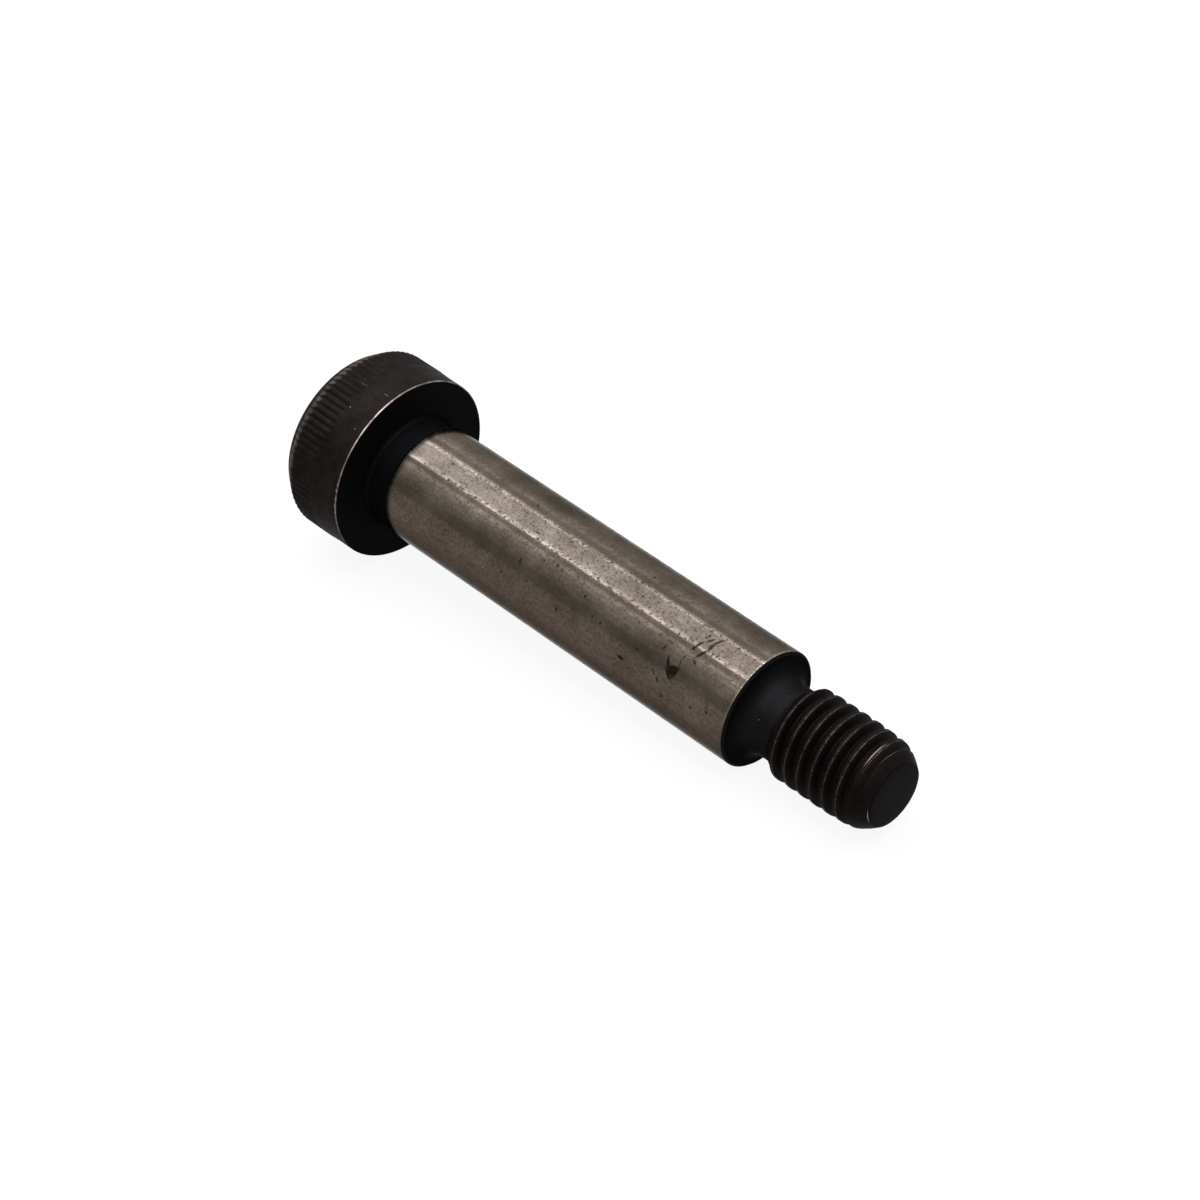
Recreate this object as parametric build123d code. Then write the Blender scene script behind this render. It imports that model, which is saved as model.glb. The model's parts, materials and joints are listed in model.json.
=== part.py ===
from build123d import *
import math
import os

# Centering screw: a one-piece steel screw with a knurled socket head, a long ground
# shoulder that locates on its diameter, and a shorter thread beyond it.
#
# The screw is made on its own axis: station 0 is the bearing face under the head, and
# stations rise towards the thread. It is then laid down on its side, as it comes to rest
# on a flat surface, with the origin still at the middle of the bearing face. All sizes
# are in millimetres and degrees.

# Ground shoulder
shoulder_d = 10.0
shoulder_length = 40.0
shoulder_end_chamfer = 0.3

# Undercut between the bearing face and the ground surface
undercut_depth = 0.29
undercut_width = 2.6

# Head
head_d = 16.0
head_height = 7.0
head_crown_height = 1.6
head_crown_r = 1.1
head_rim_chamfer = 0.2

# Straight knurl, rolled into the head from its outer end, where its ridges are bevelled
knurl_pitch = 0.6
knurl_depth = 0.22
knurl_vee_angle = 90.0
knurl_run_out = 0.9
knurl_bevel_angle = 35.0
plain_band_width = 2.2

# Hexagon socket
hex_across_flats = 5.0
hex_depth = 4.4
hex_lead_in = 0.25
drill_point_angle = 120.0

# Thread, right hand, with a 60 degree form
thread_d = 8.0
thread_pitch = 1.25
thread_length = 12.6
thread_crest_allowance = 0.13
thread_flank_angle = 30.0
thread_depth_ratio = 0.6134
thread_crest_ratio = 0.125
thread_end_chamfer = 1.4
thread_tool_overrun = 0.1
thread_tool_start = 0.8

# Relief groove between the shoulder's end face and the thread
relief_width = 2.8
relief_clearance = 0.1

# How far the screw is turned about its own axis as it lies, which sets where its ridges are
resting_turn = 1.4

# Radii and stations that follow from the sizes above
shoulder_r = shoulder_d / 2
undercut_r = shoulder_r - undercut_depth
head_r = head_d / 2
crest_r = (thread_d - thread_crest_allowance) / 2
root_r = thread_d / 2 - thread_depth_ratio * thread_pitch
relief_r = root_r - relief_clearance
relief_end = shoulder_length + relief_width
thread_end = shoulder_length + thread_length
knurl_start = -head_height + head_crown_height


def turned_blank():
    """The whole screw as turned, before its knurl, socket and thread."""
    crown_corner_r = head_r - head_crown_height * math.tan(math.radians(knurl_bevel_angle))
    # Each corner of the half section: its radius, its station and how it is rounded.
    outline = [
        (0, -head_height, 0),
        (crown_corner_r, -head_height, head_crown_r),
        (head_r, knurl_start, 0),
        (head_r, -head_rim_chamfer, 0),
        (head_r - head_rim_chamfer, 0, 0),
        (undercut_r, 0, 0),
        (undercut_r, undercut_width - undercut_depth, 0),
        (shoulder_r, undercut_width, 0),
        (shoulder_r, shoulder_length - shoulder_end_chamfer, 0),
        (shoulder_r - shoulder_end_chamfer, shoulder_length, 0),
        (relief_r, shoulder_length, 0),
        (relief_r, relief_end, 0),
        (crest_r, relief_end + crest_r - relief_r, 0),
        (crest_r, thread_end - thread_end_chamfer, 0),
        (crest_r - thread_end_chamfer, thread_end, 0),
        (0, thread_end, 0),
    ]
    corners = [(radius, 0, station) for radius, station, rounding in outline]
    roundings = [rounding for radius, station, rounding in outline]
    half_section = make_face(FilletPolyline(*corners, radius=roundings, close=True))
    return revolve(half_section, Axis.Z)


def knurl_grooves():
    """Straight V grooves of even depth, each ending on a slope before the plain band."""
    count = round(math.pi * head_d / knurl_pitch)
    bottom_r = head_r - knurl_depth
    clear_r = head_r + knurl_depth
    half_width = (clear_r - bottom_r) * math.tan(math.radians(knurl_vee_angle / 2))
    outer_end = -head_height - knurl_depth
    full_depth_end = -plain_band_width - knurl_run_out
    clear_end = full_depth_end + 2 * knurl_run_out
    vee = make_face(
        Polyline(
            (bottom_r, 0, outer_end),
            (clear_r, half_width, outer_end),
            (clear_r, -half_width, outer_end),
            close=True,
        )
    )
    side = make_face(
        Polyline(
            (bottom_r, 0, outer_end),
            (clear_r, 0, outer_end),
            (clear_r, 0, clear_end),
            (bottom_r, 0, full_depth_end),
            close=True,
        )
    )
    groove = extrude(vee, clear_end - outer_end, dir=(0, 0, 1))
    groove &= extrude(side, half_width, dir=(0, 1, 0), both=True)
    return PolarLocations(0, count) * groove


def hex_socket():
    """A broached hexagon with a coned lead-in and the point of the drill below it."""
    mouth = Pos(0, 0, -head_height)
    corner_r = hex_across_flats / 2 / math.cos(math.radians(30))
    point_height = hex_across_flats / 2 / math.tan(math.radians(drill_point_angle / 2))
    lead_in_r = corner_r + hex_lead_in
    lead_in_height = lead_in_r / math.tan(math.radians(drill_point_angle / 2))
    flats = extrude(RegularPolygon(corner_r, 6), hex_depth)
    drill_point = Pos(0, 0, hex_depth + point_height / 2) * Cone(
        hex_across_flats / 2, 0, point_height
    )
    lead_in = Pos(0, 0, lead_in_height / 2) * Cone(lead_in_r, 0, lead_in_height)
    return mouth * (flats + drill_point + lead_in)


def thread_groove():
    """The helical space between the threads, from inside the relief to past the end."""
    slope = math.tan(math.radians(thread_flank_angle))
    crest_width = thread_crest_ratio * thread_pitch + thread_crest_allowance * slope
    tool_r = crest_r + thread_tool_overrun
    mouth_half = (thread_pitch - crest_width) / 2 + thread_tool_overrun * slope
    root_half = mouth_half - (tool_r - root_r) * slope
    start = relief_end - thread_tool_start
    helix = Helix(
        pitch=thread_pitch,
        height=thread_end + thread_pitch - start,
        radius=root_r,
        center=(0, 0, start),
    )
    form = make_face(
        Polyline(
            (root_r, 0, start - root_half),
            (tool_r, 0, start - mouth_half),
            (tool_r, 0, start + mouth_half),
            (root_r, 0, start + root_half),
            close=True,
        )
    )
    return sweep(form, path=helix, is_frenet=True)


def lay_down(screw):
    """Lay the screw on its side, resting on the head's rim and the shoulder's end."""
    rest_span = shoulder_length - shoulder_end_chamfer + head_rim_chamfer
    rest_tilt = math.degrees(math.atan((head_r - shoulder_r) / rest_span))
    return screw.rotate(Axis.Z, resting_turn).rotate(Axis.Y, 90 + rest_tilt)


def centering_screw():
    screw = turned_blank()
    screw -= knurl_grooves()
    screw -= hex_socket()
    screw -= thread_groove()
    return lay_down(screw)


os.makedirs("parts", exist_ok=True)
export_step(centering_screw(), "parts/centering_screw.step")
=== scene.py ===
# %% [markdown]
# # A shoulder screw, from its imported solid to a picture
#
# This lesson dresses one steel screw. On the real object everything is a single turned
# piece: a knurled head with a hexagon socket, a black undercut, a long shoulder that was
# ground bright, a relief groove and an M8 thread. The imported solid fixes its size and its
# place, so the first step is to load it and to read from it what the later steps measure by.

# %% Load the frame
import json
import math
import random

import bmesh
import bpy
import numpy as np
from mathutils import Matrix, Vector

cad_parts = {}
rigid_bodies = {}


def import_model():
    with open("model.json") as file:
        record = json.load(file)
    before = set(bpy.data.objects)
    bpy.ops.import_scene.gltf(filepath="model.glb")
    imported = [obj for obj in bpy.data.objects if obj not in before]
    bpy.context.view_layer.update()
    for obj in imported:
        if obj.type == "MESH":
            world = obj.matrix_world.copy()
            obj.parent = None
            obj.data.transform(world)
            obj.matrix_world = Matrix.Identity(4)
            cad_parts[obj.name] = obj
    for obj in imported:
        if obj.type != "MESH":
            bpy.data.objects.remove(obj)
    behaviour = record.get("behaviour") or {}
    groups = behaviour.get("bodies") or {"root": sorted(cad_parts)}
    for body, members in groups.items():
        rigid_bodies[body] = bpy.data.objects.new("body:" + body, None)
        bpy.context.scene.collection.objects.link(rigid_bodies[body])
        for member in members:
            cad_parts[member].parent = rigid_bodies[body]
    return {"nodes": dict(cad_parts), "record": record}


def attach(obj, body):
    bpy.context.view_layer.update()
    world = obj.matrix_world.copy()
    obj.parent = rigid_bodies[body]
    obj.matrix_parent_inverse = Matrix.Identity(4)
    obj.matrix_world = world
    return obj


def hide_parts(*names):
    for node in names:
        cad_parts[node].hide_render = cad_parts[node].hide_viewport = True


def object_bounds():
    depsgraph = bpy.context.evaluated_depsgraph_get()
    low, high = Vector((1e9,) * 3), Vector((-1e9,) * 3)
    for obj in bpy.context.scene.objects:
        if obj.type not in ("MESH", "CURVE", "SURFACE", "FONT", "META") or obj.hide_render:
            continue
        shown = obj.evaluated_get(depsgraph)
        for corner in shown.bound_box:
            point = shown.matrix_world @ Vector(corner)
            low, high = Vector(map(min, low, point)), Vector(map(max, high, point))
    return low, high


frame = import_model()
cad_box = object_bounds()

MM = 0.001
NODE = "centering_screw"
print("solids in the frame:", sorted(frame["nodes"]))

# %% [markdown]
# ## The screw's own axis
#
# A turned piece is simplest to describe by three numbers: its station along the axis, an
# angle round the axis and a radius. The screw lies on its head's rim and its shoulder's end,
# so its axis slopes a little. The record's mount on the bearing face gives that axis. Here
# station 0 is the bearing face, angle 0 is the top, and angles rise towards the camera's side.

# %% Stations, angles and radii
bearing_face = next(m for m in frame["record"]["mounts"] if m["name"] == "bearing_face")
axis = Vector(bearing_face["axis"]).normalized()
side = Vector((0, -1, 0))
top = side.cross(axis).normalized()
if top.z < 0:
    top.negate()
axis_slope = math.atan2(-axis.z, axis.x)


def on_screw(station, angle, radius):
    """A point in metres from a station and a radius in millimetres and an angle in degrees."""
    turn = math.radians(angle)
    return (axis * station + (top * math.cos(turn) + side * math.sin(turn)) * radius) * MM


print(f"the axis slopes down by {math.degrees(axis_slope):.2f} degrees")

# %% [markdown]
# ## Sizes of the turned form
#
# These repeat the solid's sizes, in millimetres, and add what is too small for it: the
# fillets in the two grooves, the slight raise that rolling gives a knurl, and the way that
# every outside edge of a real screw is broken by a few hundredths. The thread's crests are
# a little lower than the solid's, as rolled ones are. The seams are where a ring with many
# points meets one with fewer, on flat faces, each given by its radius on either side.

# %% Sizes
HEAD_R = 8.0
HEAD_HEIGHT = 7.0
CROWN_HEIGHT = 1.6
CROWN_R = 1.1
KNURL_RAISE = 0.07
KNURL_RAISE_FROM = -2.9
PLAIN_BAND = -1.6
RIM_CHAMFER = 0.05
UNDERCUT_R = 4.71
UNDERCUT_WIDTH = 2.6
UNDERCUT_FILLET = 0.45
RESTING_TURN = 1.4
SHOULDER_R = 5.0
SHOULDER_LENGTH = 40.0
SHOULDER_CHAMFER = 0.22
RELIEF_R = 3.13
RELIEF_END = 42.8
RELIEF_FILLET = 1.6
THREAD_FROM = 41.9
CREST_R = 3.88
ROOT_R = 3.233
PITCH = 1.25
TIP = 52.6
TIP_R = 2.75
BEVEL_SLOPE = math.tan(math.radians(35))
TOP_SEAM_R, SOCKET_SEAM_R = 5.6, 5.2
HEAD_SEAM_R, BODY_SEAM_R = 7.0, 6.6
shoulder_dims = next(m for m in frame["record"]["mounts"] if m["name"] == "shoulder")["dims"]
print("shoulder radius, here and in the frame:", SHOULDER_R, shoulder_dims["r_mm"])

# %% [markdown]
# ## The half section, with its corners rounded
#
# A lathe follows a half section, and so does this step. The section could be drawn as a
# curve and spun by a modifier, but then the knurl and the thread, which change with the
# angle, would need a second mesh. Instead the section becomes a list of rings. Each corner
# is given with a rounding and a number of steps, and a short function puts the arc in.


# %% Rounded corners
def rounded_section(corners):
    """A half section's points (radius, station), from (radius, station, rounding, steps)."""
    points = []
    for index, (radius, station, rounding, steps) in enumerate(corners):
        here = Vector((radius, station))
        if not rounding or index in (0, len(corners) - 1):
            points.append((radius, station))
            continue
        back = (Vector(corners[index - 1][:2]) - here).normalized()
        ahead = (Vector(corners[index + 1][:2]) - here).normalized()
        half_turn = back.angle(ahead) / 2
        reach = rounding / math.tan(half_turn)
        centre = here + (back + ahead).normalized() * (rounding / math.sin(half_turn))
        start = here + back * reach - centre
        swing = start.angle_signed(here + ahead * reach - centre)
        for step in range(steps + 1):
            spoke = start.copy()
            spoke.rotate(Matrix.Rotation(-swing * step / steps, 2))
            points.append(tuple(centre + spoke))
    return points


head_section = rounded_section(
    [
        (TOP_SEAM_R, -HEAD_HEIGHT, 0, 0),
        (HEAD_R + KNURL_RAISE - CROWN_HEIGHT * BEVEL_SLOPE, -HEAD_HEIGHT, CROWN_R, 12),
        (HEAD_R + KNURL_RAISE, -HEAD_HEIGHT + CROWN_HEIGHT, 0.3, 3),
        (HEAD_R + KNURL_RAISE, KNURL_RAISE_FROM, 2.0, 2),
        (HEAD_R, PLAIN_BAND, 2.0, 2),
        (HEAD_R, -RIM_CHAMFER, 0.03, 2),
        (HEAD_R - RIM_CHAMFER, 0.0, 0.03, 2),
        (HEAD_SEAM_R, 0.0, 0, 0),
    ]
)
body_section = rounded_section(
    [
        (BODY_SEAM_R, 0.0, 0, 0),
        (UNDERCUT_R, 0.0, UNDERCUT_FILLET, 6),
        (UNDERCUT_R, UNDERCUT_WIDTH + UNDERCUT_R - SHOULDER_R, 0.15, 2),
        (SHOULDER_R, UNDERCUT_WIDTH, 0.08, 2),
        (SHOULDER_R, SHOULDER_LENGTH - SHOULDER_CHAMFER, 0.07, 3),
        (SHOULDER_R - SHOULDER_CHAMFER, SHOULDER_LENGTH, 0.05, 2),
        (RELIEF_R, SHOULDER_LENGTH, RELIEF_FILLET, 9),
        (RELIEF_R, THREAD_FROM, 0, 0),
    ]
)
print("rings on the head and on the body:", len(head_section), len(body_section))

# %% [markdown]
# ## A mesh that grows ring by ring
#
# All of the screw is one closed skin. A small class keeps its points and faces, and gives a
# point that was made before when the same place is asked for again, so that the rings of
# the head, the shoulder and the thread share their edges with no gap.


# %% The skin
class Skin:
    def __init__(self):
        self.points = []
        self.faces = []
        self.known = {}

    def point(self, station, angle, radius):
        place = on_screw(station, angle, radius)
        key = tuple(round(value, 9) for value in place)
        if key not in self.known:
            self.known[key] = len(self.points)
            self.points.append(place)
        return self.known[key]

    def face(self, corners):
        ring = [c for i, c in enumerate(corners) if c != corners[i - 1]]
        if len(set(ring)) == len(ring) > 2:
            self.faces.append(ring)

    def join(self, first, second):
        """Quads between two rings of as many points."""
        for i in range(len(first)):
            j = (i + 1) % len(first)
            self.face([first[i], first[j], second[j], second[i]])

    def join_finer(self, fine, coarse):
        """Flat faces between a ring and one with fewer points, in either order along the axis."""
        share = len(fine) // len(coarse)
        for i in range(len(coarse)):
            j = (i + 1) % len(coarse)
            arc = [fine[(i * share + k) % len(fine)] for k in range(share + 1)]
            self.face(arc + [coarse[j], coarse[i]])

    def cap(self, ring, centre):
        for i in range(len(ring)):
            self.face([ring[i], ring[(i + 1) % len(ring)], centre])


COLUMNS = 168
TEETH = 84
skin = Skin()
column_angles = [RESTING_TURN + 360 * j / COLUMNS for j in range(COLUMNS)]


def plain_ring(radius, station):
    return [skin.point(station, angle, radius) for angle in column_angles]


# %% [markdown]
# ## The knurl
#
# The knurl was rolled with a toothed wheel: 84 V grooves, 0.6 mm apart, that fade out before
# the plain band. A displacement or a bump could draw them, but the ridges' ends stand
# against the light at the crown, so they are real geometry. Each ridge takes six columns of
# points, and each ring moves these columns to where its own V meets the surface. So the
# crease of each groove stays sharp, also where the grooves run out to a point. A wheel
# doesn't press evenly, so each groove is given its own small error from a fixed seed. At the
# crown the wheel's edge bit deeper, so there the grooves run some way down the bevel.

# %% The knurled head
KNURL_PITCH = math.pi * 2 * HEAD_R / TEETH
GROOVE_BOTTOM_R = 7.945
FLANK_SLOPE = 0.52
RUN_OUT_FROM = -3.15
RUN_OUT_RISE = 0.24
CROWN_END_FROM = -5.4
CROWN_END_DROP = 0.6
BOTTOM_ROUNDING = 0.02
NARROWEST = 0.015
DEPTH_ERROR = 0.015
END_ERROR = 0.16
wheel = random.Random(4)
groove_errors = []
for _ in range(TEETH):
    depth_error = wheel.uniform(-DEPTH_ERROR, DEPTH_ERROR)
    groove_errors.append((depth_error, wheel.uniform(-END_ERROR, END_ERROR)))


def knurled_ring(radius, station):
    """A ring of the head, with each groove cut into it where its bottom lies below the surface."""
    ring = []
    drop = max(0.0, CROWN_END_FROM - station) * CROWN_END_DROP
    for tooth in range(TEETH):
        halves = []
        for groove in (tooth, (tooth + 1) % TEETH):
            depth_error, end_error = groove_errors[groove]
            bottom = GROOVE_BOTTOM_R + depth_error - drop
            bottom += max(0.0, station - RUN_OUT_FROM - end_error) * RUN_OUT_RISE
            halves.append((max((radius - bottom) / FLANK_SLOPE, NARROWEST), min(bottom, radius)))
        (width, bottom), (next_width, next_bottom) = halves
        middle = KNURL_PITCH / 2
        shape = [
            (0.0, min(bottom + BOTTOM_ROUNDING, radius)),
            (width / 2, min(bottom + FLANK_SLOPE * width / 2, radius)),
            (width, radius),
            (middle, radius),
            (KNURL_PITCH - next_width, radius),
            (KNURL_PITCH - next_width / 2, min(next_bottom + FLANK_SLOPE * next_width / 2, radius)),
        ]
        for offset, reach in shape:
            angle = RESTING_TURN + 360 / TEETH * (tooth + offset / KNURL_PITCH)
            ring.append(skin.point(station, angle, reach))
    return ring


def more_rings(section, longest):
    """The section again, with rings added so that no step along it is longer than this."""
    fine = [section[0]]
    for (r0, s0), (r1, s1) in zip(section, section[1:]):
        steps = max(1, math.ceil(math.hypot(r1 - r0, s1 - s0) / longest))
        fine += [(r0 + (r1 - r0) * k / steps, s0 + (s1 - s0) * k / steps) for k in range(1, steps + 1)]
    return fine


fine_section = more_rings(head_section, longest=0.16)
head_rings = [knurled_ring(radius, station) for radius, station in fine_section]
for first, second in zip(head_rings, head_rings[1:]):
    skin.join(first, second)
print("rings on the head:", len(head_rings), "points so far:", len(skin.points))

# %% [markdown]
# ## The undercut, the shoulder and the relief groove
#
# The bearing face is flat, so the head's 504 columns can become the shoulder's 168 there
# without a mark. From there a plain ring at each point of the section is enough.

# %% Shoulder rings
body_rings = [plain_ring(radius, station) for radius, station in more_rings(body_section, longest=1.0)]
skin.join_finer(head_rings[-1], body_rings[0])
for first, second in zip(body_rings, body_rings[1:]):
    skin.join(first, second)
print("rings on the body:", len(body_rings))

# %% [markdown]
# ## The thread
#
# A thread can be made with Blender's Screw modifier, but its ends then need a boolean. Here
# the rows of the grid climb with the helix by one pitch each turn, so every crease of the
# form lies on a row, and row by row the last column meets the first one a pitch higher. The
# rows are held between two plain rings, where the groove's bottom and the pointed end are
# below the thread's root, so both ends close by themselves. The thread was rolled, which
# leaves its crests round, with a faint seam where the metal met.

# %% Thread form and thread
CREST_AT_SEAM = 43.52
BLANK_END = [
    (48.4, CREST_R),
    (49.4, 3.83),
    (50.6, 3.76),
    (51.1, 3.68),
    (51.5, 3.5),
    (52.1, 3.13),
    (TIP, TIP_R),
]
END_FACE = TIP + 0.045
half_form = [
    (0.0, CREST_R - 0.02),
    (0.07, CREST_R),
    (0.135, CREST_R - 0.01),
    (0.18, CREST_R - 0.045),
    (0.28, CREST_R - 0.215),
    (0.39, CREST_R - 0.405),
    (0.48, CREST_R - 0.56),
    (0.555, ROOT_R + 0.02),
    (0.625, ROOT_R),
]
thread_form = half_form + [(PITCH - offset, radius) for offset, radius in half_form[-2:0:-1]]
ROWS_A_TURN = len(thread_form)
first_crest = CREST_AT_SEAM - 3 * PITCH
rows = math.ceil((TIP - first_crest) / PITCH + 1) * ROWS_A_TURN


def turned_radius(station):
    """The blank that the thread is rolled on: the groove, its slope and the pointed end."""
    slope_in = RELIEF_R + max(0.0, station - RELIEF_END)
    slope_out = np.interp(station, [place for place, _ in BLANK_END], [reach for _, reach in BLANK_END])
    return min(slope_in, float(slope_out))


def thread_point(row, column):
    offset, radius = thread_form[row % ROWS_A_TURN]
    station = first_crest + PITCH * (row // ROWS_A_TURN + column / COLUMNS) + offset
    station = min(max(station, THREAD_FROM), TIP)
    return skin.point(station, column_angles[column], min(radius, turned_radius(station)))


thread_grid = [[thread_point(row, column) for column in range(COLUMNS)] for row in range(rows)]
for row in range(rows - 1):
    for column in range(COLUMNS):
        right = column + 1
        low, high = thread_grid[row], thread_grid[row + 1]
        if right < COLUMNS:
            skin.face([low[column], low[right], high[right], high[column]])
        else:
            up = [min(r + ROWS_A_TURN, rows - 1) for r in (row, row + 1)]
            skin.face([low[column], thread_grid[up[0]][0], thread_grid[up[1]][0], high[column]])
tip_rings = [thread_grid[-1]]
for radius, station in ((TIP_R - 0.05, TIP + 0.03), (TIP_R - 0.14, END_FACE), (1.2, END_FACE)):
    tip_rings.append(plain_ring(radius, station))
for first, second in zip(tip_rings, tip_rings[1:]):
    skin.join(first, second)
skin.cap(tip_rings[-1], skin.point(END_FACE, 0, 0))
print("rows of thread:", rows, "points so far:", len(skin.points))

# %% [markdown]
# ## The hexagon socket
#
# The socket takes a 5 mm key. It was punched, so its mouth has a coned lead-in, its walls
# are plain and its bottom is the point of a drill. Each ring of it has the same 168 columns,
# with a corner of the hexagon on every 28th, so the corners stay sharp.

# %% The socket
ACROSS_FLATS = 5.0
SOCKET_DEPTH = 4.4
LEAD_IN = 0.25
DRILL_POINT = 1.45
DRILL_RING_R, DRILL_RING_DEPTH = 1.2, 0.76
CONE_RISE = math.tan(math.radians(30))
corner_r = ACROSS_FLATS / 2 / math.cos(math.radians(30))
mouth_r = corner_r + LEAD_IN
hexagon = []
for angle in column_angles:
    from_flat = (angle - RESTING_TURN) % 60 - 30
    hexagon.append(ACROSS_FLATS / 2 / math.cos(math.radians(from_flat)))


def socket_ring(radii, depths):
    places = zip(column_angles, radii, depths)
    return [skin.point(-HEAD_HEIGHT + depth, angle, radius) for angle, radius, depth in places]


lead_in_depths = [(mouth_r - radius) * CONE_RISE for radius in hexagon]
socket = [
    plain_ring(SOCKET_SEAM_R, -HEAD_HEIGHT),
    plain_ring(mouth_r + 0.06, -HEAD_HEIGHT),
    plain_ring(mouth_r - 0.02, -HEAD_HEIGHT + 0.03),
    socket_ring(hexagon, lead_in_depths),
    socket_ring(hexagon, [depth + 0.06 for depth in lead_in_depths]),
    socket_ring(hexagon, [SOCKET_DEPTH / 2] * COLUMNS),
    socket_ring(hexagon, [SOCKET_DEPTH] * COLUMNS),
    socket_ring([ACROSS_FLATS / 2 - 0.02] * COLUMNS, [SOCKET_DEPTH + 0.01] * COLUMNS),
    socket_ring([DRILL_RING_R] * COLUMNS, [SOCKET_DEPTH + DRILL_RING_DEPTH] * COLUMNS),
]
skin.join_finer(head_rings[0], socket[0])
for first, second in zip(socket, socket[1:]):
    skin.join(first, second)
bottom = skin.point(-HEAD_HEIGHT + SOCKET_DEPTH + DRILL_POINT, 0, 0)
skin.cap(socket[-1], bottom)
print("points in the whole skin:", len(skin.points), "faces:", len(skin.faces))

# %% [markdown]
# ## From points to an object
#
# The lists become one mesh. Its faces are turned to look outwards, shading is smooth, and
# edges over 32 degrees are marked sharp, which keeps the creases of the knurl and the socket.

# %% The screw's mesh
SHARP = math.radians(32)
mesh = bpy.data.meshes.new("shoulder_screw")
mesh.from_pydata([tuple(p) for p in skin.points], [], skin.faces)
mesh.validate()
screw = bpy.data.objects.new("shoulder_screw", mesh)
bpy.context.scene.collection.objects.link(screw)
work = bmesh.new()
work.from_mesh(mesh)
bmesh.ops.recalc_face_normals(work, faces=work.faces)
open_edges = sum(1 for edge in work.edges if len(edge.link_faces) != 2)
for edge in work.edges:
    edge.smooth = len(edge.link_faces) == 2 and edge.calc_face_angle() < SHARP
for face in work.faces:
    face.smooth = True
work.to_mesh(mesh)
volume = work.calc_volume() / MM**3
work.free()
flat_first = screw.modifiers.new("Flat faces stay flat", "WEIGHTED_NORMAL")
flat_first.keep_sharp = True
triangles = sum(len(face) - 2 for face in skin.faces)
print("triangles:", triangles, "open edges:", open_edges, f"volume: {volume:.0f} cubic mm")

# %% [markdown]
# ## Colours and nodes
#
# Colours are written as the sRGB hex values that a person would pick, and one function turns
# them to the linear values that Blender works in. One more function adds a node, with its
# settings and its links, so that each material below reads as a list of steps. Inputs go by
# name, or in the order in which the node editor shows them, from top to bottom. A node may be
# given in place of an output, and then stands for the first output that it shows.


# %% Helpers for materials
def colour(hex_code):
    """Linear RGBA from an sRGB hex code."""
    values = [int(hex_code[i : i + 2], 16) / 255 for i in (1, 3, 5)]
    return [v / 12.92 if v <= 0.04045 else ((v + 0.055) / 1.055) ** 2.4 for v in values] + [1.0]


def add_node(tree, kind, inputs=(), **settings):
    """Add a node. Each input is a value, another node's output or another node."""
    new = tree.nodes.new("ShaderNode" + kind)
    for name, value in settings.items():
        setattr(new, name, value)
    if isinstance(inputs, dict):
        pairs = [(new.inputs[name], value) for name, value in inputs.items()]
    else:
        pairs = zip([socket for socket in new.inputs if socket.enabled], inputs)
    for socket, value in pairs:
        if isinstance(value, bpy.types.Node):
            value = next(output for output in value.outputs if output.enabled)
        if isinstance(value, bpy.types.NodeSocket):
            tree.links.new(value, socket)
        else:
            socket.default_value = value
    return new


def new_material(name):
    """An empty node material, and its tree of nodes."""
    material = bpy.data.materials.new(name)
    material.use_nodes = True
    material.node_tree.nodes.clear()
    return material, material.node_tree


# %% [markdown]
# ## Measuring in the material by station and angle
#
# Wear sits at places: on the rim, on the thread's crests, on the ridges. So both materials
# first turn the object's coordinates to millimetres along the screw, and from these get the
# station, the radius and the angle. All of it is tied to the object, so it looks the same
# from every side.


# %% Station, angle and radius in nodes
def screw_places(tree):
    """The place on the screw: vector in mm, station, radius and angle in degrees."""
    here = add_node(tree, "TexCoord").outputs["Object"]
    to_the_axis = {"Vector": here, "Rotation": (0, -axis_slope, 0), "Scale": (1 / MM, 1 / MM, 1 / MM)}
    place = add_node(tree, "Mapping", to_the_axis)
    parts = add_node(tree, "SeparateXYZ", (place,)).outputs
    across = add_node(tree, "CombineXYZ", {"Y": parts["Y"], "Z": parts["Z"]})
    radius = add_node(tree, "VectorMath", (across,), operation="LENGTH")
    towards_us = add_node(tree, "Math", (parts["Y"], -1.0), operation="MULTIPLY")
    turn = add_node(tree, "Math", (towards_us, parts["Z"]), operation="ARCTAN2")
    angle = add_node(tree, "Math", (turn,), operation="DEGREES")
    return place, parts["X"], radius, angle


# %% [markdown]
# ## Masks and layers
#
# A mask is a number from 0 to 1 that says where one finish lies over another. Masks could be
# painted as images, but an image has a resolution and needs a UV map. Here each mask follows
# from the place on the screw, or from a noise whose scale is in patches to a millimetre. The
# helpers below work on the material in hand: `tree` and the four outputs of `screw_places`.


# %% Helpers for masks and layers
def mottling(per_mm, detail=3.0, roughness=0.6, stretch=(1, 1, 1)):
    """Irregular patches, about so many to a millimetre, that may be denser along the screw."""
    stretched = add_node(tree, "Mapping", {"Vector": place, "Scale": stretch})
    return add_node(tree, "TexNoise", (stretched, per_mm, detail, roughness))


def where_all(mask, *others):
    """Where every one of these masks is: their product."""
    for other in others:
        mask = add_node(tree, "Math", (mask, other), operation="MULTIPLY")
    return mask


def band(value, low, high, soft):
    """1 between two limits and 0 outside, with soft edges."""
    rising = add_node(tree, "MapRange", (value, low - soft, low + soft))
    falling = add_node(tree, "MapRange", (value, high + soft, high - soft))
    return where_all(rising, falling)


def layered(base, layers):
    """A colour with others laid over it, each by its own mask."""
    for mask, over in layers:
        base = add_node(tree, "Mix", (mask, base, over), data_type="RGBA")
    return base


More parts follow.
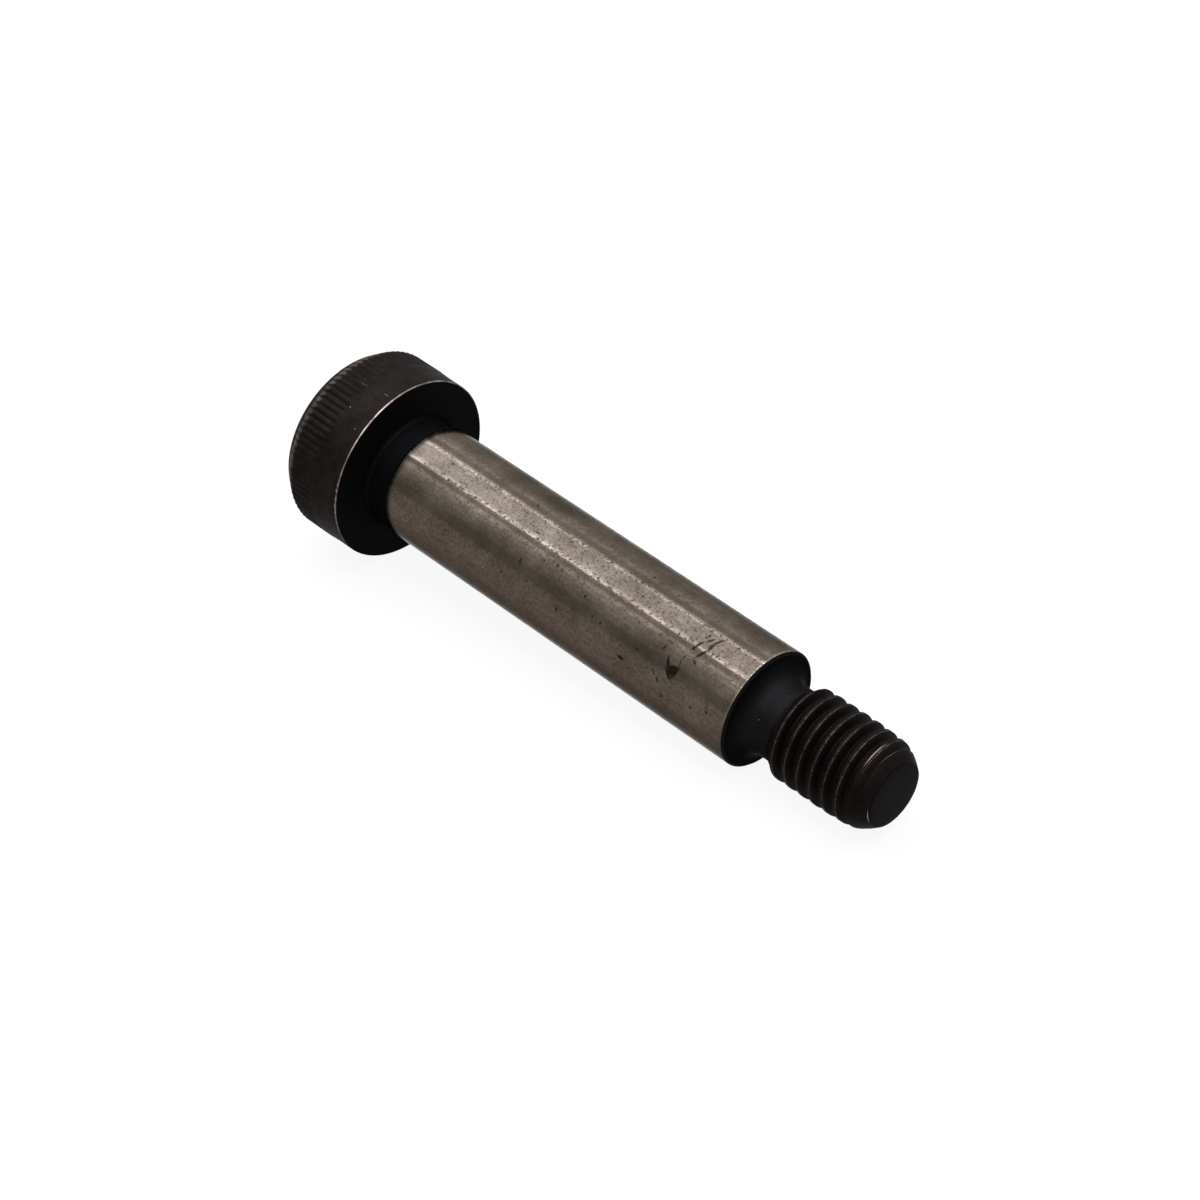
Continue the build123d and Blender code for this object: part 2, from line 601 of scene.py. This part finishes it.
def shaded(shade, patterns):
    """A colour times a factor for each pattern, which goes from one to another over a range."""
    for pattern, low, high, factor_low, factor_high in patterns:
        factor = add_node(tree, "MapRange", (pattern, low, high, factor_low, factor_high))
        shade = add_node(tree, "VectorMath", (shade, factor), operation="SCALE")
    return shade


# %% [markdown]
# ## Ground steel: what it is like
#
# The shoulder is hardened steel, cylindrically ground to size and then handled and stored.
# Bare iron alloy is a warm grey metal. Handling leaves brown and greenish stains on it, and
# time leaves fine pits. The patches have the size of the real ones: pits 0.2 mm, rust 0.8 mm,
# stains 3 mm, and streaks 1.4 mm wide that run along the screw. The wheel's rings are really
# some hundredths of a millimetre apart, too fine to show, so they are drawn 0.07 mm apart.

# %% The patterns in the ground steel
steel, tree = new_material("ground_hardened_steel")
place, station, radius, angle = screw_places(tree)
grain = mottling(4.5, detail=4.0, roughness=0.75, stretch=(0.8, 1, 1))
streaks = mottling(0.7, detail=4.0, stretch=(0.12, 1, 1))
stain = mottling(0.3, detail=4.0, roughness=0.65)
rust = mottling(1.2, detail=5.0, roughness=0.7)
wheel_rings = mottling(1.0, stretch=(14.0, 0.3, 0.3))
from_top = add_node(tree, "Math", (angle,), operation="ABSOLUTE")
print("nodes for the steel's place and patterns:", len(tree.nodes))

# %% [markdown]
# ## Pits, scratches and a dark spot
#
# The shoulder has some larger pits, a few scratches, a dark spot whose tail runs up over the
# top, and a row of small dots near its end. They could be dents in the mesh, but all are
# thinner than its rings are apart. Each is an ellipse on the unrolled surface instead, with
# an edge that a little noise makes ragged, and it is given by the station and the angle of
# its two ends and by its half width.


# %% Marks on the shoulder
def marks(places, surface_r, ragged):
    """A mask of marks on a surface of this radius, with edges that stray by so much, in mm."""
    deep = 1e3
    arc = math.radians(surface_r)
    around = add_node(tree, "Math", (angle, arc), operation="MULTIPLY")
    unrolled = add_node(tree, "CombineXYZ", (station, around))
    stray = add_node(tree, "TexNoise", {"Vector": place, "Scale": 5.0}).outputs["Color"]
    stray = add_node(tree, "VectorMath", (stray, 2 * ragged), operation="SCALE")
    unrolled = add_node(tree, "VectorMath", (unrolled, stray), operation="ADD")
    mask = 0.0
    for from_station, from_angle, to_station, to_angle, half_width in places:
        start = Vector((from_station, from_angle * arc, 0))
        end = Vector((to_station, to_angle * arc, 0))
        lean = math.atan2(end.y - start.y, end.x - start.x)
        middle = (start + end) / 2 + Vector((ragged, ragged, 0))
        sizes = ((end - start).length / 2 + half_width, half_width, deep)
        ellipse = {"Vector": unrolled, "Location": middle, "Rotation": (0, 0, lean), "Scale": sizes}
        within = add_node(tree, "Mapping", ellipse, vector_type="TEXTURE")
        reach = add_node(tree, "VectorMath", (within,), operation="LENGTH")
        inside = add_node(tree, "MapRange", (reach, 1.25, 0.6))
        mask = add_node(tree, "Math", (mask, inside), operation="MAXIMUM")
    return mask


PITS_AND_SCRATCHES = [
    (6.5, 15, 6.5, 15, 0.10), (7.3, 30, 7.3, 31, 0.09), (11.3, 10, 11.3, 11, 0.09),
    (10.0, 30, 10.0, 30, 0.08), (15.0, 1, 15.0, 2, 0.09), (16.3, 22, 16.3, 22, 0.08),
    (16.8, 25, 17.3, 25, 0.07), (17.8, 30, 17.8, 30, 0.08), (19.9, 14, 19.9, 14, 0.10),
    (20.4, 39, 20.4, 40, 0.09), (19.1, 43, 19.1, 43, 0.08), (23.6, 17, 23.6, 17, 0.08),
    (24.0, 48, 24.0, 49, 0.10), (27.3, -5, 27.3, -2, 0.07), (28.1, 20, 28.1, 20, 0.09),
    (17.2, 52, 17.2, 57, 0.07), (18.5, 67, 18.5, 67, 0.10), (14.8, 70, 14.8, 70, 0.09),
    (15.9, 74, 15.9, 74, 0.10), (22.0, 73, 22.0, 75, 0.10), (25.4, 60, 25.4, 60, 0.09),
    (26.3, 61, 26.3, 61, 0.09), (28.9, 78, 29.3, 78, 0.15), (30.3, 62, 30.3, 62, 0.09),
    (32.3, 49, 32.4, 45, 0.08), (32.3, 69, 32.5, 72, 0.08), (32.8, 74, 33.1, 77, 0.09),
    (33.6, 88, 33.6, 88, 0.12), (36.5, 80, 36.5, 80, 0.12), (38.0, 75, 38.0, 75, 0.12),
]
DARK_SPOT = [
    (33.1, 52, 33.4, 59, 0.15), (33.4, 60, 34.3, 56, 0.22), (33.4, 62, 34.0, 68, 0.16),
    (34.4, 55, 34.0, 67, 0.14), (33.7, 62, 34.0, 61, 0.32), (34.3, 54, 34.2, 48, 0.06),
    (34.2, 48, 34.4, 40, 0.05), (34.4, 35, 34.8, 24, 0.13), (35.1, 39, 35.6, 28, 0.14),
    (35.6, 28, 35.6, 20, 0.17), (35.6, 20, 35.9, 13, 0.12), (35.0, 22, 35.3, 17, 0.12),
    (34.8, 15, 34.8, 17, 0.09), (34.6, 20, 34.8, 19, 0.07), (35.1, 42, 35.4, 44, 0.10),
    (34.5, 34, 34.5, 34, 0.12),
]
DOTS = [(39.3, at, 39.3, at, 0.05) for at in range(45, 72, 5)]
scarred = marks(PITS_AND_SCRATCHES + DARK_SPOT + DOTS, SHOULDER_R, 0.08)
print("marks on the shoulder:", len(PITS_AND_SCRATCHES + DARK_SPOT + DOTS))

# %% [markdown]
# ## Ground steel: the shader
#
# The wheel's rings smear a reflection along the screw but leave its long edges crisp. The
# shader's anisotropy does this, with the screw's axis as its tangent. Where there are pits
# the polish is gone: the metal is rougher, and scatters light evenly. The edge next to the
# chamfer is worn bright, and on the upper side its brightness is also a painted highlight.
# The colour turns pinker towards the lower side, and the underside is darkened as painted
# shade. A clean metal would have a specular tint of white, and this one has a grey one,
# because a film of oil and dust dulls it.

# %% Ground steel
CHAMFER_FROM = SHOULDER_LENGTH - SHOULDER_CHAMFER
stained = add_node(tree, "MapRange", (stain, 0.35, 0.65))
rusty = add_node(tree, "MapRange", (rust, 0.5, 0.7, 0.0, 0.6))
# Towards the lower side, from 60 to 85 degrees off the top, the colour turns pinker.
pinker_lower_side = add_node(tree, "MapRange", (angle, 60, 85, 0.0, 0.5))
stains_and_pinker_side = [(stained, colour("#453f35")), (rusty, colour("#564640")), (pinker_lower_side, colour("#534641"))]
metal = layered(colour("#5c544b"), stains_and_pinker_side)
patterns = [(grain, 0.3, 0.7, 0.72, 1.28), (streaks, 0.3, 0.7, 0.86, 1.14)]
# Painted shade: the underside, from 92 to 116 degrees off the top, is darkened to two thirds.
patterns += [(from_top, 92, 116, 1.0, 0.66), (scarred, 0.0, 1.0, 1.0, 0.2)]
metal = shaded(metal, patterns)

# Partly wear and partly painted highlight: the light line before the chamfer, kept to the upper side.
at_the_edge = add_node(tree, "MapRange", (station, CHAMFER_FROM - 0.12, CHAMFER_FROM - 0.06))
highlit_upper_side = add_node(tree, "MapRange", (from_top, 80, 40))
in_specks = add_node(tree, "MapRange", (grain, 0.35, 0.6, 0.1, 0.8))
worn_edge_and_highlight = where_all(at_the_edge, highlit_upper_side, in_specks)
metal = layered(metal, [(worn_edge_and_highlight, colour("#948375"))])

pitted = add_node(tree, "MapRange", (grain, 0.38, 0.5, 1.0, 0.0))
away_from_the_head = add_node(tree, "MapRange", (station, 2.8, 8.0, 0.15, 1.0))
less_on_the_lower_side = add_node(tree, "MapRange", (angle, 50, 80, 1.0, 0.6))
pits = where_all(pitted, away_from_the_head, less_on_the_lower_side)
metal = shaded(metal, [(pits, 0.0, 1.0, 1.03, 0.88)])
polish = add_node(tree, "MapRange", (pits, 0.0, 1.0, 0.12, 0.62))
haze = add_node(tree, "MapRange", (stain, 0.4, 0.7, 0.0, 0.03))

along = add_node(tree, "CombineXYZ", tuple(axis))
to_world = {"vector_type": "VECTOR", "convert_from": "OBJECT", "convert_to": "WORLD"}
surface = add_node(
    tree,
    "BsdfPrincipled",
    {
        "Base Color": metal,
        "Metallic": 1.0,
        "Roughness": add_node(tree, "Math", (polish, haze), operation="ADD"),
        "Specular Tint": colour("#b9b8b7"),
        "Anisotropic": add_node(tree, "MapRange", (pits, 0.0, 1.0, 0.85, 0.0)),
        "Tangent": add_node(tree, "VectorTransform", (along,), **to_world),
        "Normal": add_node(tree, "Bump", {"Height": wheel_rings, "Strength": 0.2, "Distance": 0.000004}),
    },
)
add_node(tree, "OutputMaterial", {"Surface": surface})
print("nodes in the ground steel:", len(tree.nodes))

# %% [markdown]
# ## Black oxide: its colour
#
# Everything but the shoulder is blackened: a thin skin of magnetite, sealed with oil. It is
# nearly black with a brown cast, and duller than bare metal. It is a little lighter on the
# head, which is handled most. In the corner of the undercut it is darkened as painted shade.
# Its clouds are 0.9 mm wide and its specks 0.17 mm.

# %% The colour of the black oxide
oxide, tree = new_material("black_oxide_on_steel")
place, station, radius, angle = screw_places(tree)
cloud = mottling(1.1, detail=4.0)
speck = mottling(6.0, detail=3.0, roughness=0.7)
cloudy = add_node(tree, "MapRange", (cloud, 0.35, 0.65))
in_undercut = band(station, -0.02, UNDERCUT_WIDTH, 0.02)
at_end_face = band(station, SHOULDER_LENGTH - 0.3, SHOULDER_LENGTH + 0.3, 0.2)
head_black = layered(colour("#171413"), [(cloudy, colour("#1f1b18"))])
layers = [
    (band(station, SHOULDER_LENGTH + 0.6, RELIEF_END, 0.3), colour("#191819")),
    (add_node(tree, "MapRange", (station, -0.1, -0.2)), head_black),
    (add_node(tree, "Math", (in_undercut, at_end_face), operation="MAXIMUM"), colour("#131314")),
    (add_node(tree, "MapRange", (station, TIP - 0.06, TIP)), colour("#0f0d0d")),
]
black = layered(layered(colour("#120f0e"), [(cloudy, colour("#171312"))]), layers)
# Painted shade: the corner of the undercut next to the bearing face is darkened to half.
painted_shade_in_corner = where_all(
    band(radius, UNDERCUT_R + 0.03, UNDERCUT_R + 0.4, 0.1),
    band(station, -0.02, 0.5, 0.02),
)
patterns = [(station, -3.2, -1.8, 0.88, 1.0), (painted_shade_in_corner, 0.0, 1.0, 1.0, 0.5)]
black = shaded(black, patterns + [(speck, 0.3, 0.7, 0.75, 1.25)])
print("nodes for the black:", len(tree.nodes))

# %% [markdown]
# ## Black oxide: where it is worn off, and painted highlights
#
# It wears to bare, pinkish steel where things rub, first on the rim, the ends of the ridges
# and the thread's crests. Blender can find edges by their curvature, but then both sides of a
# crest would wear alike. Here each edge is found by where it lies. A crest climbs with the
# helix, so a line along one of its sides keeps the same share of a pitch, once the angle's
# part of a turn is taken off. The line is left out where the thread runs down to the tip. The
# ridges' ends lie on a cone, and a few nicks and rubs are listed.
# Some of this lighter colour is also painted highlight: on the rim's upper side, at the ridges' ends, along
# one side of each crest and near the tip.

# %% Wear and painted highlights on the black oxide
turns = add_node(tree, "Math", (angle, 360.0), operation="DIVIDE")
pitches = add_node(tree, "Math", (station, PITCH), operation="DIVIDE")
climb = add_node(tree, "Math", (pitches, turns), operation="SUBTRACT")
since_crest = (climb, CREST_AT_SEAM / PITCH - RESTING_TURN / 360)
climb = add_node(tree, "Math", since_crest, operation="SUBTRACT")
climb = add_node(tree, "Math", (climb,), operation="FRACT")
crest_top_r = add_node(tree, "MapRange", (station, 48.4, 51.2, CREST_R - 0.05, 3.62))
patchy = add_node(tree, "MapRange", (cloud, 0.35, 0.6, 0.3, 1.0))
# Partly wear and partly painted highlight: a lighter line along one side of each crest.
crest_wear_and_highlight = where_all(
    band(climb, 0.05, 0.12, 0.025),
    add_node(tree, "Math", (radius, crest_top_r), operation="GREATER_THAN"),
    band(station, RELIEF_END + 0.2, 51.4, 0.2),
    add_node(tree, "MapRange", (speck, 0.4, 0.62, 0.1, 1.0)),
    patchy,
)
# Partly wear and partly painted highlight: the ridges' ends on the bevel are made lighter.
bevel_r = add_node(tree, "MapRange", (station, -6.2, -5.4, 7.51, 8.07))
above_the_bevel = add_node(tree, "Math", (radius, bevel_r), operation="SUBTRACT")
ridge_end_wear_and_highlight = where_all(
    add_node(tree, "MapRange", (above_the_bevel, -0.06, -0.01)),
    band(station, -6.0, -5.3, 0.12),
    patchy,
)
# Partly wear and partly painted highlight: the rim is worn, and from 16 to 42 degrees off the top it has a
# bright painted highlight.
rubbed_below = add_node(tree, "MapRange", (angle, 125, 100, 0.0, 0.4))
rim_wear_and_highlight = where_all(
    band(station, -RIM_CHAMFER - 0.02, 0.05, 0.03),
    add_node(tree, "MapRange", (radius, HEAD_R - 0.1, HEAD_R - 0.07)),
    add_node(tree, "Math", (band(angle, 16, 42, 14), rubbed_below), operation="ADD"),
    patchy,
)
NICKS = [
    (-2.5, 31.5, -2.5, 31.5, 0.05), (-0.85, 40.5, -0.85, 40.5, 0.04), (-1.1, 13.2, -0.65, 13.2, 0.012),
    (-4.0, -14.5, -4.0, -14.5, 0.06), (-3.5, 15.3, -2.8, 15.3, 0.012), (-0.05, 73, -0.05, 75, 0.05),
    (-0.1, 77.5, -0.02, 79, 0.06), (-0.03, 82, -0.03, 85, 0.05), (-0.1, 88, -0.05, 90, 0.05),
]
# Rubs and painted highlights: the light lines on the upper side near the tip and the spot low on its end
# face are painted highlights.
RUBS_AND_HIGHLIGHTS = [
    (50.6, -5, 50.7, 32, 0.03), (50.95, -5, 51.05, 32, 0.03), (51.65, -45, 51.68, 12, 0.02),
    (52.5, 88, 52.55, 114, 0.03), (41.4, 60, 41.4, 60, 0.04),
]
on_the_ridges = add_node(tree, "MapRange", (radius, HEAD_R - 0.12, HEAD_R - 0.08))
worn_and_highlit = layered(
    black,
    [
        (crest_wear_and_highlight, colour("#52483f")),
        (ridge_end_wear_and_highlight, colour("#594c44")),
        (rim_wear_and_highlight, colour("#d8c6ba")),
        (where_all(marks(NICKS, HEAD_R, 0.03), on_the_ridges), colour("#857469")),
        (marks(RUBS_AND_HIGHLIGHTS, 3.6, 0.03), colour("#8d7a6d")),
    ],
)
print("nodes with the wear:", len(tree.nodes))

# %% [markdown]
# ## Black oxide: the shader
#
# Oxide is no metal, but the skin is thin enough for the steel below to set how it shines, so
# the shader is a dark, rough metal. Its specular tint is what an oiled skin sends back at a
# low angle. It is less in the two hollows, where dust lies.

# %% Black oxide
beyond_the_shoulder = band(station, SHOULDER_LENGTH - 0.1, RELIEF_END + 0.4, 0.1)
hollows = add_node(tree, "Math", (in_undercut, beyond_the_shoulder), operation="MAXIMUM")
sheen = layered(colour("#d2d2d2"), [(hollows, colour("#b0b0b2"))])
skin_of_oxide = {"Base Color": worn_and_highlit, "Metallic": 1.0, "Roughness": 0.58, "Specular Tint": sheen}
surface = add_node(tree, "BsdfPrincipled", skin_of_oxide)
add_node(tree, "OutputMaterial", {"Surface": surface})
print("nodes in the black oxide:", len(tree.nodes))

# %% [markdown]
# ## Which face has which finish
#
# The ground finish starts where the undercut's slope ends and stops at the chamfer on the
# shoulder's end. A face belongs to it if its middle lies between those stations.

# %% Give out the finishes
for material in (oxide, steel):
    mesh.materials.append(material)
ground_faces = 0
for polygon in mesh.polygons:
    middle = polygon.center.dot(axis) / MM
    if UNDERCUT_WIDTH - 0.03 < middle < CHAMFER_FROM + 0.1:
        polygon.material_index = 1
        ground_faces += 1
print("faces with the ground finish:", ground_faces, "of", len(mesh.polygons))
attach(screw, "root")
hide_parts(NODE)

# %% [markdown]
# ## Floor and sky
#
# The photograph has a plain white ground with a faint shadow. The floor is a pale plane at
# the lowest point of the solid. To the camera and to reflections it also glows a little, so
# that it reads as white while its shadow stays. The sky does the same: it is seen at full
# strength but lights the screw at less than half of it.

# %% Floor and sky
FLOOR_HALF = 3.0
FLOOR_GLOW = 0.91
SKY_LIGHT = 0.45
WHITE = (1, 1, 1, 1)


def where_seen(tree):
    """1 for the rays that show a thing, straight or in a mirror, and 0 for those it lights by."""
    rays = add_node(tree, "LightPath").outputs
    seen = rays["Is Camera Ray"]
    for ray in ("Is Glossy Ray", "Is Transmission Ray"):
        seen = add_node(tree, "Math", (seen, rays[ray]), operation="MAXIMUM")
    return seen


floor_z = cad_box[0][2]
floor_mesh = bpy.data.meshes.new("floor")
floor_corners = [(x * FLOOR_HALF, y * FLOOR_HALF, floor_z) for x, y in ((-1, -1), (1, -1), (1, 1), (-1, 1))]
floor_mesh.from_pydata(floor_corners, [], [(0, 1, 2, 3)])
floor = bpy.data.objects.new("floor", floor_mesh)
bpy.context.scene.collection.objects.link(floor)
paper, tree = new_material("white_paper")
glow = add_node(tree, "Math", (where_seen(tree), FLOOR_GLOW), operation="MULTIPLY")
matt_paper = {"Base Color": colour("#4e4e4e"), "Roughness": 0.9, "Specular IOR Level": 0.0}
sheet = add_node(tree, "BsdfPrincipled", {**matt_paper, "Emission Color": WHITE, "Emission Strength": glow})
add_node(tree, "OutputMaterial", {"Surface": sheet})
floor_mesh.materials.append(paper)

world = bpy.data.worlds.new("studio")
world.use_nodes = True
bpy.context.scene.world = world
tree = world.node_tree
tree.nodes.clear()
strength = add_node(tree, "MapRange", (where_seen(tree), 0.0, 1.0, SKY_LIGHT, 1.0))
sky = add_node(tree, "Background", {"Color": WHITE, "Strength": strength})
add_node(tree, "OutputWorld", {"Surface": sky})
print("nodes in the paper and in the sky:", len(paper.node_tree.nodes), len(tree.nodes))

# %% [markdown]
# ## The camera
#
# The camera was fitted to the photograph's edges: it looks down on the screw from the side
# of its thread. The three directions below are the picture's right, its up and the way back
# to the camera, and the lens is for a 36 mm sensor and a square picture.

# %% Camera
CAMERA_PLACE = (170.2, -148.2, 150.0)
PICTURE_RIGHT = (0.7072, 0.7071, 0.0)
PICTURE_UP = (-0.4149, 0.4150, 0.8097)
SENSOR_MM = 36.0
LENS_MM = 99.48
lens_data = bpy.data.cameras.new("camera")
lens_data.sensor_width = SENSOR_MM
lens_data.lens = LENS_MM
camera = bpy.data.objects.new("camera", lens_data)
bpy.context.scene.collection.objects.link(camera)
right = Vector(PICTURE_RIGHT).normalized()
up = Vector(PICTURE_UP).normalized()
back = right.cross(up)
turn = Matrix((right, up, back)).transposed().to_4x4()
camera.matrix_world = Matrix.Translation(Vector(CAMERA_PLACE) * MM) @ turn
bpy.context.scene.camera = camera
bpy.context.scene.view_settings.view_transform = "Standard"
print("camera looks along", [round(v, 3) for v in -back])

# %% [markdown]
# ## The softbox
#
# The shoulder is a round mirror: it shows one long softbox as a crisp bright band along its
# upper side. A mirror sends light off at the angle it came in, so a lamp that is to be seen
# at some angle on the shoulder stands at twice that angle, less the camera's own. Each strip
# of light below is given by the two angles on the shoulder between which it should be seen,
# and by how much brighter than the white surroundings it looks. The band is brightest along
# both edges, as from two tubes behind the cloth, and on both sides of it the lit ceiling
# fades away. All strips run along the screw, so every edge of the band is a straight line.

# %% Softbox
BOX_AWAY = 0.55
BOX_LONG = 1.3
BOX_SHIFT = -0.3
DAYLIGHT = (0.96, 1.0, 1.1)
STRIPS = [
    (-24, -20, 0.5),
    (-20, -13, 0.3),
    (-13, -8, 0.4),
    (-8, -3.5, 0.65),
    (-3.5, 1, 1.2),
    (1, 5.5, 0.35),
    (7.0, 8.8, 2.6),
    (8.8, 11, 6.2),
    (11, 27, 2.5),
    (27, 29, 4.4),
    (29, 31.2, 6.8),
    (32.5, 36, 0.25),
    (36, 40, 1.6),
    (40, 44, 0.75),
    (44, 49, 0.3),
]
to_camera = Vector(CAMERA_PLACE)
camera_angle = math.degrees(math.atan2(to_camera.dot(side), to_camera.dot(top)))


def across_the_screw(angle):
    return top * math.cos(math.radians(angle)) + side * math.sin(math.radians(angle))


lamp_watts = 0.0
for number, (seen_from, seen_to, radiance) in enumerate(STRIPS):
    towards = across_the_screw(seen_from + seen_to - camera_angle)
    wide = 2 * BOX_AWAY * math.tan(math.radians(seen_to - seen_from))
    lamp = bpy.data.lights.new(f"softbox_strip_{number}", "AREA")
    lamp.shape = "RECTANGLE"
    lamp.size = BOX_LONG
    lamp.size_y = wide
    lamp.energy = radiance * math.pi * BOX_LONG * wide
    lamp.color = DAYLIGHT
    lamp_watts += lamp.energy
    strip = bpy.data.objects.new(lamp.name, lamp)
    strip.visible_camera = False
    bpy.context.scene.collection.objects.link(strip)
    turn = Matrix((axis, towards.cross(axis), towards)).transposed().to_4x4()
    strip.matrix_world = Matrix.Translation(axis * BOX_SHIFT + towards * BOX_AWAY) @ turn
print(f"{len(STRIPS)} strips of light, {lamp_watts:.2f} W, camera at {camera_angle:.1f} degrees")

# %% [markdown]
# ## A grey card
#
# Low on the shoulder, between the mirrored ceiling and the mirrored table, the photograph
# has a darker line. It is the side of the room that nobody lit. A grey card in front of
# the table does the same: it is seen in reflections only, and a little duller than the
# white ground round it.

# %% Grey card
CARD_SEEN = (54.5, 65)
CARD_GLOW = 0.68
card_points = []
for seen_at in CARD_SEEN:
    edge = across_the_screw(2 * seen_at - camera_angle) * BOX_AWAY + axis * BOX_SHIFT
    card_points += [edge - axis * BOX_LONG / 2, edge + axis * BOX_LONG / 2]
card_mesh = bpy.data.meshes.new("grey_card")
card_mesh.from_pydata([tuple(point) for point in card_points], [], [(0, 1, 3, 2)])
card = bpy.data.objects.new("grey_card", card_mesh)
bpy.context.scene.collection.objects.link(card)
card.visible_camera = False
card.visible_diffuse = False
card.visible_shadow = False
felt, tree = new_material("grey_felt_card")
glow = add_node(tree, "Emission", {"Color": WHITE, "Strength": CARD_GLOW})
add_node(tree, "OutputMaterial", {"Surface": glow})
card_mesh.materials.append(felt)
print(f"the card is seen on the shoulder from {CARD_SEEN[0]} to {CARD_SEEN[1]} degrees")
